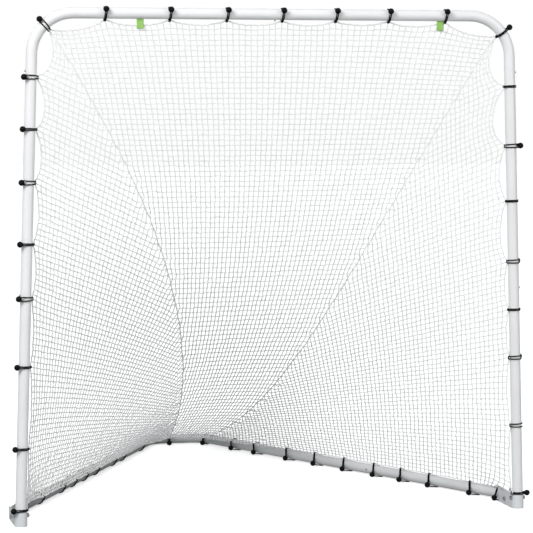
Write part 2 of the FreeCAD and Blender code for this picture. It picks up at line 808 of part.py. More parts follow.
bungee_row("crossbar", [(on_bar(x), BALL_ABOVE_BAR) for x in BAR_STATIONS])
corners = [(on_corner(side, turn), BALL_OUTWARD[side]) for side, turn in CORNER_STATIONS.items()]
bungee_row("corners", corners)
for side_name, side in SIDES:
    turned = zip(POST_STATIONS[side], POST_BALLS[side])
    places = [(at_height(side, height), turn) for height, turn in turned]
    bungee_row("post_" + side_name, places)
    places = [(on_leg(side, run), BALL_LOW[side]) for run in LEG_STATIONS[side]]
    if side > 0:
        places.append((on_leg_bend(side, BESIDE_BRACKET), BALL_LOW[side]))
    bungee_row("base_" + side_name, places)
straight_back = on_goal(BACK_STATION, size("base_depth"), size("base_height"), Rotation(Y_AXIS, 90))
bungee_row("back", [(straight_back, BALL_BEFORE_BACK), (on_back_bend(BACK_TURN), BALL_BEFORE_BACK)])

net_panel("net_left", panel_rows(lambda t: post_point(-1, t), lambda t: seam_point(-1, t), 1))
net_panel("net_right", panel_rows(lambda t: post_point(1, t), lambda t: seam_point(1, t), 1))
net_panel("net_back", panel_rows(lambda t: seam_point(-1, t), lambda t: seam_point(1, t)))

BORDER_HALF = 790
BORDER_BACK = 6
BORDER_ENDS = (160, 130)
border_height = size("bar_height") - size("border_below")
border_ends = [Vector(side * BORDER_HALF, BORDER_BACK, border_height) for side in (-1, 1)]
edge_cord("border_cord_top", border_ends)
for side_name, side in SIDES:
    beside = size("border_beside")
    from_bar, from_ground = BORDER_ENDS
    top = Vector(side * (size("bar_half") - beside), 0, size("bar_height") - from_bar)
    foot = Vector(side * (size("foot_half") - beside), 0, from_ground)
    edge_cord("border_cord_" + side_name, [top, foot])
TAG_PLACES = (-498, 621)
group("tape_tags", [tag("tape_tag_%d" % number, x) for number, x in enumerate(TAG_PLACES)])

# ---------------------------------------------------------------- checks and files

document.recompute()
for item in document.Objects:
    if "Invalid" in item.State or "Error" in item.State:
        raise RuntimeError("%s: %s" % (item.Name, item.State))
whole = FreeCAD.BoundBox()
for label, item in nodes.items():
    if item.Shape.isNull() or not item.Shape.isValid() or not item.Shape.Solids:
        raise RuntimeError(label + ": bad shape")
    whole.add(item.Shape.BoundBox)
    print("%-26s %2d solids %10.1f mm3" % (label, len(item.Shape.Solids), item.Shape.Volume))
print("box", whole)

os.makedirs("parts", exist_ok=True)
for label, item in nodes.items():
    item.Shape.exportStep("parts/%s.step" % label)
print(len(nodes), "nodes")
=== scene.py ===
import json
import math

import bpy
import numpy as np
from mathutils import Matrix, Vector


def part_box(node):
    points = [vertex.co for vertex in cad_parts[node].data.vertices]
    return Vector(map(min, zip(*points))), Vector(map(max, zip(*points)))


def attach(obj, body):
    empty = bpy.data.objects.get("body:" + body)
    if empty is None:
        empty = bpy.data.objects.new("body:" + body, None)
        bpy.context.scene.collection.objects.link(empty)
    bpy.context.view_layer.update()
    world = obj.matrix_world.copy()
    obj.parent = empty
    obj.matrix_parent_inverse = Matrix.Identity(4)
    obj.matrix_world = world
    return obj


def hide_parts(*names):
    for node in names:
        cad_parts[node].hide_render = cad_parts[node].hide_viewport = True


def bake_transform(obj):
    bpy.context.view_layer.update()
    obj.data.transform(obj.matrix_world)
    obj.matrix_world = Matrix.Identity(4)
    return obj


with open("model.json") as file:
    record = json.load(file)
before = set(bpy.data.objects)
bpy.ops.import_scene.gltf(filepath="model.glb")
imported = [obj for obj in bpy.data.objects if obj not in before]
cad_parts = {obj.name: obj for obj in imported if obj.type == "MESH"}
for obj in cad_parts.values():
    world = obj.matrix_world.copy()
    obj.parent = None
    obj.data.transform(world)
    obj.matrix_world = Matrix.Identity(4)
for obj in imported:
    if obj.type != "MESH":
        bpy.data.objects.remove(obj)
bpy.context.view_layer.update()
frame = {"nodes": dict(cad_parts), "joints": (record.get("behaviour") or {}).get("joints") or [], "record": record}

rng = np.random.default_rng(7)

FRONT = "front_frame"
BASE = "base"

# ---------------------------------------------------------------- sizes, in metres, from the CAD frame

_, bar_high = (np.array(corner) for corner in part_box("crossbar_left"))
rear_low, rear_high = (np.array(corner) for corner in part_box("base_rear"))
foot_low, foot_high = (np.array(corner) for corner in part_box("lower_post_right"))
TUBE = (foot_high[1] - foot_low[1]) / 2
BAR_Z = bar_high[2] - TUBE
POST_Y = (foot_low[1] + foot_high[1]) / 2
POST_X = foot_high[0] - TUBE
REAR_Y = rear_high[1] - TUBE
BASE_Z = (rear_low[2] + rear_high[2]) / 2
hinge = next(j for j in frame["joints"] if j["name"] == "base_fold")
HINGE = np.array(hinge["pos_m"])

BAR_HALF = 0.885
BEND = 0.152
LEG_CORNER_Y = POST_Y + 0.200
BACK_HALF = 0.116
BACK_BEND = 0.100
CORD = 0.0022
ROPE = 0.0020
BALL = 0.011
LEG_TURN = math.atan2(POST_X - BACK_HALF, REAR_Y - LEG_CORNER_Y)


def unit(v):
    v = np.array(v, float)
    return v / np.linalg.norm(v)


# ---------------------------------------------------------------- meshes

def make_object(name, verts, faces, uvs=None, smooth=True):
    """A mesh object from arrays. faces holds quads or other polygons. uvs has one row per corner."""
    mesh = bpy.data.meshes.new(name)
    mesh.from_pydata([tuple(v) for v in np.asarray(verts, float)], [], [tuple(map(int, f)) for f in faces])
    if uvs is not None:
        layer = mesh.uv_layers.new(name="Along")
        layer.data.foreach_set("uv", np.asarray(uvs, np.float32).ravel())
    if smooth:
        mesh.polygons.foreach_set("use_smooth", np.ones(len(mesh.polygons), bool))
    mesh.validate()
    mesh.update()
    obj = bpy.data.objects.new(name, mesh)
    bpy.context.scene.collection.objects.link(obj)
    return obj


def sweep(points, radii, sides, reference, closed=False):
    """Rings round a line of points, and their quads and corner UVs, in metres along and turns around."""
    points = np.asarray(points, float)
    if closed:
        ahead = np.roll(points, -1, axis=0) - np.roll(points, 1, axis=0)
    else:
        ahead = np.gradient(points, axis=0)
    ahead /= np.linalg.norm(ahead, axis=1)[:, None]
    reference = np.broadcast_to(np.asarray(reference, float), points.shape)
    across = reference - (reference * ahead).sum(1)[:, None] * ahead
    across /= np.linalg.norm(across, axis=1)[:, None]
    third = np.cross(ahead, across)
    turn = np.arange(sides) * 2 * math.pi / sides
    radii = np.broadcast_to(np.asarray(radii, float), len(points))
    rings = points[:, None] + radii[:, None, None] * (
        np.cos(turn)[None, :, None] * across[:, None] + np.sin(turn)[None, :, None] * third[:, None])
    count = len(points)
    spans = count if closed else count - 1
    ring = np.arange(spans)[:, None]
    side = np.arange(sides)[None, :]
    after = (ring + 1) % count
    beside = (side + 1) % sides
    quads = np.stack([ring * sides + side, ring * sides + beside,
                      after * sides + beside, after * sides + side], -1).reshape(-1, 4)
    steps = np.linalg.norm(np.roll(points, -1, axis=0) - points, axis=1)
    length = np.concatenate([[0], np.cumsum(steps)])
    low = np.broadcast_to(length[:-1][:spans, None], (spans, sides))
    high = np.broadcast_to(length[1:][:spans, None], (spans, sides))
    left = np.broadcast_to(side / sides, (spans, sides))
    right = np.broadcast_to((side + 1) / sides, (spans, sides))
    uvs = np.stack([np.stack([left, low], -1), np.stack([right, low], -1),
                    np.stack([right, high], -1), np.stack([left, high], -1)], -2).reshape(-1, 2)
    return rings.reshape(-1, 3), quads, uvs


class Parts:
    """Several swept lines gathered into one mesh."""

    def __init__(self):
        self.verts, self.quads, self.uvs, self.count = [], [], [], 0

    def add(self, verts, quads, uvs):
        self.verts.append(verts)
        self.quads.append(quads + self.count)
        self.uvs.append(uvs)
        self.count += len(verts)

    def build(self, name):
        verts, quads, uvs = (np.concatenate(rows) for rows in (self.verts, self.quads, self.uvs))
        return make_object(name, verts, quads, uvs)


def lathe(profile, middle, axis, segments=36):
    """A surface of revolution: profile rows are (distance along the axis, radius)."""
    axis = unit(axis)
    side = unit(np.cross(axis, (0.3, 0.5, 0.8)))
    other = np.cross(axis, side)
    turn = np.arange(segments) * 2 * math.pi / segments
    rings = [middle + axis * along + radius * (np.cos(turn)[:, None] * side + np.sin(turn)[:, None] * other)
             for along, radius in profile]
    rows = len(profile)
    row = np.arange(rows - 1)[:, None]
    seg = np.arange(segments)[None, :]
    nxt = (seg + 1) % segments
    quads = np.stack([row * segments + seg, row * segments + nxt,
                      (row + 1) * segments + nxt, (row + 1) * segments + seg], -1).reshape(-1, 4)
    uvs = np.tile(np.array([[0.0, 0.0]]), (len(quads) * 4, 1))
    return np.concatenate(rings), quads, uvs


def solids_of(node):
    """The points of each separate solid of a CAD node."""
    mesh = frame["nodes"][node].data
    co = np.zeros(len(mesh.vertices) * 3)
    mesh.vertices.foreach_get("co", co)
    co = co.reshape(-1, 3)
    keys, same = np.unique(np.round(co, 6), axis=0, return_inverse=True)
    same = same.ravel()
    edges = np.zeros(len(mesh.edges) * 2, int)
    mesh.edges.foreach_get("vertices", edges)
    edges = same[edges.reshape(-1, 2)]
    label = np.arange(len(keys))
    while True:
        least = np.minimum(label[edges[:, 0]], label[edges[:, 1]])
        before = label.copy()
        np.minimum.at(label, edges[:, 0], least)
        np.minimum.at(label, edges[:, 1], least)
        label = label[label]
        if (label == before).all():
            break
    return [keys[label == value] for value in np.unique(label)]


# ---------------------------------------------------------------- materials

def new_material(name, color, roughness=0.5, metallic=0.0, **sockets):
    material = bpy.data.materials.new(name)
    material.use_nodes = True
    shader = material.node_tree.nodes["Principled BSDF"]
    shader.inputs["Base Color"].default_value = (*color, 1)
    shader.inputs["Roughness"].default_value = roughness
    shader.inputs["Metallic"].default_value = metallic
    for socket, value in sockets.items():
        shader.inputs[socket.replace("_", " ")].default_value = value
    return material, material.node_tree.nodes, material.node_tree.links, shader


def add(nodes, kind, **values):
    node = nodes.new(kind)
    for key, value in values.items():
        if key in node.inputs:
            node.inputs[key].default_value = value
        else:
            setattr(node, key, value)
    return node


def noise_of(nodes, links, scale, detail=3.0):
    source = add(nodes, "ShaderNodeTexCoord")
    noise = add(nodes, "ShaderNodeTexNoise", Scale=scale, Detail=detail, Roughness=0.5)
    links.new(source.outputs["Object"], noise.inputs["Vector"])
    return noise


def ramp_of(nodes, links, factor, stops):
    ramp = add(nodes, "ShaderNodeValToRGB")
    ramp.color_ramp.elements[0].position = stops[0][0]
    ramp.color_ramp.elements[0].color = (*stops[0][1], 1)
    ramp.color_ramp.elements[1].position = stops[-1][0]
    ramp.color_ramp.elements[1].color = (*stops[-1][1], 1)
    for place, color in stops[1:-1]:
        stop = ramp.color_ramp.elements.new(place)
        stop.color = (*color, 1)
    links.new(factor, ramp.inputs["Fac"])
    return ramp


def to_range(nodes, links, source, out=(0.0, 1.0), inside=(0.0, 1.0)):
    """A value carried from one range to another, held at the ends."""
    node = add(nodes, "ShaderNodeMapRange")
    for socket, value in zip(("From Min", "From Max", "To Min", "To Max"), (*inside, *out)):
        node.inputs[socket].default_value = value
    links.new(source, node.inputs["Value"])
    return node.outputs["Result"]


def bump_from(nodes, links, shader, height, strength, distance):
    bump = add(nodes, "ShaderNodeBump", Strength=strength, Distance=distance)
    links.new(height, bump.inputs["Height"])
    links.new(bump.outputs["Normal"], shader.inputs["Normal"])


def paint(name, clean, dull, wear, painted_left_shade=None):
    """Powder coat: faint orange peel, cloudy dulling, and a little rubbed or dirty variation.

    An optional last pair of colours paints shade: the coat is painted that dark, mottled, on the object's left and
    keeps its clean colour on its right."""
    material, nodes, links, shader = new_material(name, clean, 0.34, Specular_IOR_Level=0.5,
                                                  Coat_Weight=0.25, Coat_Roughness=0.18)
    clouds = noise_of(nodes, links, 5.0, 4.0)
    tint = ramp_of(nodes, links, clouds.outputs["Fac"], [(0.35, dull), (0.62, clean)])
    # Painted shade: the given pair of colours, mottled by the clouds, darkens the coat on the object's left and
    # fades out between X -0.10 m and 0.30 m.
    if painted_left_shade:
        left_shade_tint = ramp_of(nodes, links, clouds.outputs["Fac"], [(0.35, painted_left_shade[0]), (0.62, painted_left_shade[1])])
        place = add(nodes, "ShaderNodeTexCoord")
        split = add(nodes, "ShaderNodeSeparateXYZ")
        links.new(place.outputs["Object"], split.inputs["Vector"])
        unshaded_share = to_range(nodes, links, split.outputs["X"], inside=(-0.10, 0.30))
        blended = add(nodes, "ShaderNodeMixRGB", blend_type="MIX")
        links.new(unshaded_share, blended.inputs["Fac"])
        links.new(left_shade_tint.outputs["Color"], blended.inputs["Color1"])
        links.new(tint.outputs["Color"], blended.inputs["Color2"])
        tint = blended
    specks = noise_of(nodes, links, 140.0, 2.0)
    soil = ramp_of(nodes, links, specks.outputs["Fac"], [(0.24, wear), (0.34, (1, 1, 1))])
    mixed = add(nodes, "ShaderNodeMixRGB", blend_type="MULTIPLY", Fac=1.0)
    links.new(tint.outputs["Color"], mixed.inputs["Color1"])
    links.new(soil.outputs["Color"], mixed.inputs["Color2"])
    links.new(mixed.outputs["Color"], shader.inputs["Base Color"])
    rough = to_range(nodes, links, clouds.outputs["Fac"], (0.28, 0.46))
    links.new(rough, shader.inputs["Roughness"])
    peel = noise_of(nodes, links, 420.0, 1.0)
    bump_from(nodes, links, shader, peel.outputs["Fac"], 0.12, 0.0006)
    return material


def steel(name, color, roughness, scratch):
    material, nodes, links, shader = new_material(name, color, roughness, 1.0)
    grain = noise_of(nodes, links, scratch, 3.0)
    tint = ramp_of(nodes, links, grain.outputs["Fac"], [(0.3, tuple(0.72 * c for c in color)), (0.7, color)])
    links.new(tint.outputs["Color"], shader.inputs["Base Color"])
    rough = to_range(nodes, links, grain.outputs["Fac"], (roughness * 0.7, roughness * 1.4))
    links.new(rough, shader.inputs["Roughness"])
    bump_from(nodes, links, shader, grain.outputs["Fac"], 0.15, 0.0003)
    return material


def plastic(name, color, roughness, shine=0.5):
    material, nodes, links, shader = new_material(name, color, roughness, Specular_IOR_Level=shine)
    grain = noise_of(nodes, links, 900.0, 2.0)
    tint = ramp_of(nodes, links, grain.outputs["Fac"], [(0.3, color), (0.75, tuple(1.6 * c for c in color))])
    links.new(tint.outputs["Color"], shader.inputs["Base Color"])
    bump_from(nodes, links, shader, grain.outputs["Fac"], 0.2, 0.0002)
    return material


def braided(name, groove_shade, light, around, along, sheen, depth, shine=0.5):
    """Twine or braided sheath: strands cross in two slanting directions round the cord, and the grooves between
    them take the darker colour as painted shade.
    """
    material, nodes, links, shader = new_material(name, light, 0.8, Sheen_Weight=sheen, Sheen_Roughness=0.4,
                                                  Specular_IOR_Level=shine)
    source = add(nodes, "ShaderNodeTexCoord")
    heights = []
    for lean in (1, -1):
        split = add(nodes, "ShaderNodeSeparateXYZ")
        links.new(source.outputs["UV"], split.inputs["Vector"])
        turns = add(nodes, "ShaderNodeMath", operation="MULTIPLY")
        turns.inputs[1].default_value = around * 2 * math.pi * lean
        links.new(split.outputs["X"], turns.inputs[0])
        metres = add(nodes, "ShaderNodeMath", operation="MULTIPLY")
        metres.inputs[1].default_value = 2 * math.pi / along
        links.new(split.outputs["Y"], metres.inputs[0])
        total = add(nodes, "ShaderNodeMath", operation="ADD")
        links.new(turns.outputs[0], total.inputs[0])
        links.new(metres.outputs[0], total.inputs[1])
        wave = add(nodes, "ShaderNodeMath", operation="SINE")
        links.new(total.outputs[0], wave.inputs[0])
        heights.append(wave.outputs[0])
    crossed = add(nodes, "ShaderNodeMath", operation="MAXIMUM")
    links.new(heights[0], crossed.inputs[0])
    links.new(heights[1], crossed.inputs[1])
    spread = to_range(nodes, links, crossed.outputs[0], inside=(-1.0, 1.0))
    # Painted shade: the braid's low parts, between its strands, take the darker colour.
    tint = ramp_of(nodes, links, spread, [(0.1, groove_shade), (0.7, light)])
    links.new(tint.outputs["Color"], shader.inputs["Base Color"])
    bump_from(nodes, links, shader, spread, 0.5, depth)
    return material


FRAME_PAINT = paint("frame_paint", (0.80, 0.80, 0.81), (0.77, 0.77, 0.78), (0.95, 0.95, 0.95))
# The base wears the frame's white paint made greyer as painted shade, with deeper painted shade over its left
# side; only its small specks are wear.
SHADED_BASE_PAINT = paint("base_paint", (0.72, 0.73, 0.74), (0.64, 0.65, 0.66), (0.62, 0.61, 0.60),
                   ((0.15, 0.165, 0.165), (0.27, 0.285, 0.285)))
BRACKET_PAINT = paint("bracket_paint", (0.72, 0.74, 0.76), (0.66, 0.68, 0.70), (0.85, 0.85, 0.84))
SLEEVE_STEEL = steel("sleeve_steel", (0.55, 0.55, 0.56), 0.38, 160.0)
SPRING_STEEL = steel("spring_steel", (0.40, 0.40, 0.43), 0.32, 200.0)
BUTTON_STEEL = steel("button_steel", (0.72, 0.72, 0.73), 0.18, 300.0)
BOLT_STEEL = steel("bolt_steel", (0.52, 0.53, 0.54), 0.34, 240.0)
CAP_PLASTIC = plastic("cap_plastic", (0.02, 0.02, 0.021), 0.55)
BALL_PLASTIC = plastic("bungee_ball", (0.0015, 0.0015, 0.0016), 0.50, 0.12)
# The first colour of each braided finish is painted shade in its grooves.
CORD_SHEATH = braided("bungee_cord", (0.001, 0.001, 0.001), (0.004, 0.004, 0.0042),
                      6, 0.0022, 0.01, 0.0003, 0.10)
NET_TWINE = braided("net_twine", (0.80, 0.81, 0.81), (0.90, 0.91, 0.91), 3, 0.0030, 0.15, 0.0002)
EDGE_TWINE = braided("edge_twine", (0.70, 0.71, 0.71), (0.86, 0.87, 0.87), 4, 0.0040, 0.15, 0.0003)


def tape_material():
    material, nodes, links, shader = new_material("tag_tape", (0.28, 0.55, 0.12), 0.6, Sheen_Weight=0.2)
    source = add(nodes, "ShaderNodeTexCoord")
    waves = []
    for direction in ("X", "Z"):
        wave = add(nodes, "ShaderNodeTexWave", Scale=190.0, Distortion=0.4, bands_direction=direction)
        links.new(source.outputs["Object"], wave.inputs["Vector"])
        waves.append(wave.outputs["Fac"])
    crossed = add(nodes, "ShaderNodeMath", operation="MAXIMUM")
    links.new(waves[0], crossed.inputs[0])
    links.new(waves[1], crossed.inputs[1])
    # Painted shade: the weave's low parts, between its threads, take the darker green.
    weave_groove_shade = [(0.2, (0.20, 0.43, 0.07)), (0.8, (0.31, 0.58, 0.14))]
    tint = ramp_of(nodes, links, crossed.outputs[0], weave_groove_shade)
    links.new(tint.outputs["Color"], shader.inputs["Base Color"])
    bump_from(nodes, links, shader, crossed.outputs[0], 0.4, 0.0004)
    return material


TAG_TAPE = tape_material()


def finish_node(node, material):
    obj = frame["nodes"][node]
    obj.data.materials.clear()
    obj.data.materials.append(material)


def slot_of(node):
    return next(part["material_slot"] for part in frame["record"]["subparts"] if part["node"] == node)


SLOT_MATERIALS = {
    "frame_paint": FRAME_PAINT, "base_paint": SHADED_BASE_PAINT, "bracket_paint": BRACKET_PAINT,
    "sleeve_steel": SLEEVE_STEEL, "spring_steel": SPRING_STEEL, "button_steel": BUTTON_STEEL,
    "bolt_steel": BOLT_STEEL, "cap_plastic": CAP_PLASTIC,
}
for node in frame["nodes"]:
    slot = slot_of(node)
    if slot in SLOT_MATERIALS:
        finish_node(node, SLOT_MATERIALS[slot])


# ---------------------------------------------------------------- bungee stations, read from the CAD rings

def stations(group):
    """Where each bungee of a group sits: the ring's middle, the tube's direction, and the ball's middle."""
    balls = [points.mean(0) for points in solids_of("bungee_balls_" + group)]
    found = []
    for points in solids_of("bungee_cords_" + group):
        middle = points.mean(0)
        spread = np.linalg.eigh(np.cov((points - middle).T))[1]
        ball = min(balls, key=lambda b: np.linalg.norm(b - middle))
        found.append((middle, spread[:, 0], ball))
    return found


GROUPS = ("crossbar", "corners", "post_left", "post_right", "base_left", "base_right", "back")
ROWS = {group: stations(group) for group in GROUPS}

# How far from the tube's middle the net's edge is held, and how far round to the back.
POST_HOOK = 0.0250
BASE_HOOK = 0.0245
BEHIND_POST = {-1: math.radians(20), 1: math.radians(-15)}
BEHIND_BAR = math.radians(14)

# How steeply above the base tube's inner side the net is held, in degrees. On the right leg it changes
# with the distance from the front corner.
BACK_LIFT = 12
LEFT_LIFT = 12
RIGHT_LIFT = ((0.1, 0.35, 1.15, 1.45, 1.7), (70, 82, 80, 45, 20))


def leg_station(middle):
    """Distance along a base leg from its front corner."""
    return (middle[1] - LEG_CORNER_Y) / math.cos(LEG_TURN)


def hook_direction(group, middle):
    """Which way from the tube's middle the net's edge is held."""
    side = 1 if middle[0] > 0 else -1
    inward = unit((-side * math.cos(LEG_TURN), -math.sin(LEG_TURN), 0))
    if group == "crossbar":
        return np.array((0, math.sin(BEHIND_BAR), -math.cos(BEHIND_BAR)))
    if group == "corners":
        centre = np.array((side * (BAR_HALF - BEND), POST_Y, BAR_Z - BEND))
        return unit(unit(centre - middle) + (0, math.tan(BEHIND_BAR), 0))
    if group.startswith("post"):
        return np.array((-side * math.cos(BEHIND_POST[side]), math.sin(BEHIND_POST[side]), 0))
    if group == "back":
        lift = math.radians(BACK_LIFT)
        towards = np.array((0, -1.0, 0))
        if side > 0:
            centre_x = BACK_HALF - BACK_BEND * math.tan(LEG_TURN / 2)
            towards = unit((centre_x - middle[0], REAR_Y - BACK_BEND - middle[1], 0))
        return towards * math.cos(lift) + np.array((0, 0, math.sin(lift)))
    lift = math.radians(LEFT_LIFT if side < 0 else np.interp(leg_station(middle), *RIGHT_LIFT))
    return inward * math.cos(lift) + np.array((0, 0, math.sin(lift)))


# ---------------------------------------------------------------- net

BACK_ROWS = 92
TOP_CELLS = 37
FOOT_CELLS = 8
SIDE_ROWS = 84
SIDE_CELLS = 84
SEWN_LOWER = 13
TOP_INSET = 0.020
POST_TOP_Z = 1.790
POST_FOOT_Z = 0.040
LEG_START = -0.030
LEG_SPAN = 1.944
SAG = 0.0000048

# How hard each kind of thread pulls for its length: at half height, how that grows on the way down,
# and how it differs between the left and right panels.
PULLS = {"back row": (1.0, 0.77, 0.0), "back column": (0.36, -0.05, 0.0), "seam": (6.55, 0.0, 0.0),
         "side row": (0.97, -0.85, 0.10), "side column": (0.577, 0.0, 0.0), "top edge": (4.2, 0.0, 0.0),
         "foot edge": (8.0, 0.0, 0.0), "leg edge": (33.4, 0.0, 0.0), "post edge": (12.0, 1.8, 0.0)}


def half_cells(row):
    return int(round(TOP_CELLS + (FOOT_CELLS - TOP_CELLS) * row / BACK_ROWS))


def side_cells(row):
    return int(round(SIDE_CELLS * row / SIDE_ROWS))


def sewn_to(row):
    """The back panel's row that a side panel's row is sewn to, lower in the middle of the seam."""
    share = row / SIDE_ROWS
    return min(BACK_ROWS, int(round(BACK_ROWS * share + SEWN_LOWER * math.sin(math.pi * share))))


class Net:
    """Knots and threads of the whole net: a back panel and two three-cornered side panels sewn to it."""

    def __init__(self):
        self.knots = {}
        self.threads = []
        self.pulls = []
        for row in range(BACK_ROWS + 1):
            for cell in range(-half_cells(row), half_cells(row) + 1):
                self.knots["back", cell, row] = len(self.knots)
        self.size = len(self.knots)
        for side in (-1, 1):
            for row in range(SIDE_ROWS + 1):
                last = side_cells(row)
                for cell in range(last):
                    self.knots[side, cell, row] = self.size
                    self.size += 1
                back_row = sewn_to(row)
                self.knots[side, last, row] = self.knots["back", side * half_cells(back_row), back_row]
        self.tie_back()
        for side in (-1, 1):
            self.tie_side(side)
        self.threads = np.array(self.threads)
        self.pulls = np.array(self.pulls)

    def tie(self, one, other, kind, level, side=0):
        """Joins two knots. level runs from 0 at the top of the panel to 1 at the ground."""
        middle, growth, uneven = PULLS[kind]
        self.threads.append((self.knots[one], self.knots[other]))
        self.pulls.append(middle * math.exp(growth * (level - 0.5) + uneven * side))

    def tie_back(self):
        for row in range(BACK_ROWS + 1):
            half = half_cells(row)
            kind = {0: "top edge", BACK_ROWS: "foot edge"}.get(row, "back row")
            for cell in range(-half, half):
                self.tie(("back", cell, row), ("back", cell + 1, row), kind, row / BACK_ROWS)
            if row == BACK_ROWS:
                break
            below = half_cells(row + 1)
            for cell in range(-half, half + 1):
                kind = "seam" if abs(cell) == half else "back column"
                landing = max(-below, min(below, cell))
                self.tie(("back", cell, row), ("back", landing, row + 1), kind, (row + 0.5) / BACK_ROWS)

    def tie_side(self, side):
        for row in range(SIDE_ROWS + 1):
            kind = "leg edge" if row == SIDE_ROWS else "side row"
            for cell in range(side_cells(row)):
                self.tie((side, cell, row), (side, cell + 1, row), kind, row / SIDE_ROWS, side)
                if row < SIDE_ROWS:
                    kind_down = "post edge" if cell == 0 else "side column"
                    self.tie((side, cell, row), (side, cell, row + 1), kind_down, row / SIDE_ROWS, side)
        self.tie((side, 0, 0), (side, 0, 1), "post edge", 0, side)


net = Net()


def edge_knot(group, middle):
    """The knot of the net's edge that a bungee holds."""
    side = 1 if middle[0] > 0 else -1
    if group == "crossbar":
        return net.knots["back", int(round(middle[0] / (BAR_HALF - TOP_INSET) * TOP_CELLS)), 0]
    if group == "corners":
        return net.knots["back", side * TOP_CELLS, 0]
    if group.startswith("post"):
        row = int(round((POST_TOP_Z - middle[2]) / (POST_TOP_Z - POST_FOOT_Z) * SIDE_ROWS))
        return net.knots[side, 0, row]
    if group == "back":
        return net.knots["back", side * FOOT_CELLS, BACK_ROWS]
    cell = int(round((leg_station(middle) - LEG_START) / LEG_SPAN * SIDE_CELLS))
    return net.knots[side, cell, SIDE_ROWS]


# Where the net's foot corners are, from each post's middle and from the ground.
CORNER_INSIDE = 0.030
CORNER_BEHIND = 0.150
CORNER_UP = 0.052
held = {}
for group, row in ROWS.items():
    reach = BASE_HOOK if group.startswith("base") or group == "back" else POST_HOOK
    for middle, _, _ in row:
        held[edge_knot(group, middle)] = middle + reach * hook_direction(group, middle)
for side in (-1, 1):
    foot_corner = np.array((side * (POST_X - CORNER_INSIDE), POST_Y + CORNER_BEHIND, CORNER_UP))
    held.setdefault(net.knots[side, 0, SIDE_ROWS], foot_corner)


MOST_ROUNDS = 6000
BALANCED = 1e-9


def settle(held):
    """Every free knot rests where its threads' pulls and its load balance, by conjugate gradients."""
    weight = net.pulls
    one, other = net.threads.T
    fixed = np.zeros(net.size, bool)
    where = np.zeros((net.size, 3))
    for knot, place in held.items():
        fixed[knot] = True
        where[knot] = place
    total = np.bincount(one, weight, net.size) + np.bincount(other, weight, net.size)

    def pull(points):
        result = total[:, None] * points
        for axis in range(3):
            result[:, axis] -= np.bincount(one, weight * points[other, axis], net.size)
            result[:, axis] -= np.bincount(other, weight * points[one, axis], net.size)
        result[fixed] = 0
        return result

    load = np.zeros((net.size, 3))
    load[:, 2] = -SAG
    rest = where.copy()
    rest[~fixed] = where[fixed].mean(0)
    left = load - pull(rest)
    left[fixed] = 0
    scaled = left / total[:, None]
    step = scaled.copy()
    energy = (left * scaled).sum(0)
    for _ in range(MOST_ROUNDS):
        pulled = pull(step)
        share = energy / np.maximum((step * pulled).sum(0), 1e-30)
        rest += share * step
        left -= share * pulled
        if np.abs(left).max() < BALANCED:
            break
        scaled = left / total[:, None]
        after = (left * scaled).sum(0)
        step = scaled + step * (after / np.maximum(energy, 1e-30))
        energy = after
    return rest


knots = settle(held)


BEND_STARTS = 0.97


def base_axis():
    """Points along the middle of the base tube, from the left foot round the back to the right foot."""
    line = []
    for side in (-1, 1):
        corner = np.array((side * POST_X, LEG_CORNER_Y, BASE_Z))
        back = np.array((side * BACK_HALF, REAR_Y, BASE_Z))
        run = [corner + (back - corner) * share for share in np.linspace(0, BEND_STARTS, 40)]
        line += run if side < 0 else run[::-1]
    return np.array(line)


def keep_off(points, line, clearance):
    """Moves points that are inside a tube round the line out to its surface."""
    best = np.full(len(points), 1e9)
    foot = np.zeros_like(points)
    for start, end in zip(line[:-1], line[1:]):
        along = end - start
        share = np.clip(((points - start) @ along) / (along @ along), 0, 1)
        near = start + share[:, None] * along
        gap = np.linalg.norm(points - near, axis=1)
        closer = gap < best
        best[closer] = gap[closer]
        foot[closer] = near[closer]
    inside = best < clearance
    away = points[inside] - foot[inside]
    away[np.linalg.norm(away, axis=1) < 1e-6] = (0, 0, 1)
    away /= np.linalg.norm(away, axis=1)[:, None]
    moved = points.copy()
    moved[inside] = foot[inside] + away * clearance
    return moved


TUBE_LINE = base_axis()
loose = np.ones(net.size, bool)
loose[list(held)] = False
KNOT_WANDER = 0.0007
THREAD_WANDER = 0.0004
TWINE_CLEARANCE = 0.0022
knots[loose] += rng.normal(0, KNOT_WANDER, (loose.sum(), 3))
knots = keep_off(knots, TUBE_LINE, TUBE + TWINE_CLEARANCE)

STEPS = 3
TWINE_AT_KNOT = 0.0024
TWINE_BETWEEN = 0.0019
TWINE_SIDES = 5


def smooth_line(points, steps):
    """Points of a curve through the given ones, steps to each span."""
    padded = np.concatenate([[2 * points[0] - points[1]], points, [2 * points[-1] - points[-2]]])
    before, start, end, after = padded[:-3], padded[1:-2], padded[2:-1], padded[3:]
    out = []
    for step in range(steps):
        t = step / steps
        out.append(0.5 * (2 * start + (end - before) * t + (2 * before - 5 * start + 4 * end - after) * t ** 2
                          + (3 * start - before - 3 * end + after) * t ** 3))
    woven = np.stack(out, 1).reshape(-1, 3)
    return np.concatenate([woven, points[-1:]])


def thread(parts, line, reference):
    """One thread of the net along a list of knots."""
    if len(line) < 2:
        return
    points = smooth_line(knots[line], STEPS)
    radii = np.full(len(points), TWINE_BETWEEN)
    radii[::STEPS] = TWINE_AT_KNOT
    between = np.arange(len(points)) % STEPS != 0
    points[between] += rng.normal(0, THREAD_WANDER, (between.sum(), 3))
    parts.add(*sweep(points, radii, TWINE_SIDES, reference))


ROW_UP = (0, 0.35, 0.94)
COLUMN_ACROSS = (1, 0, 0)


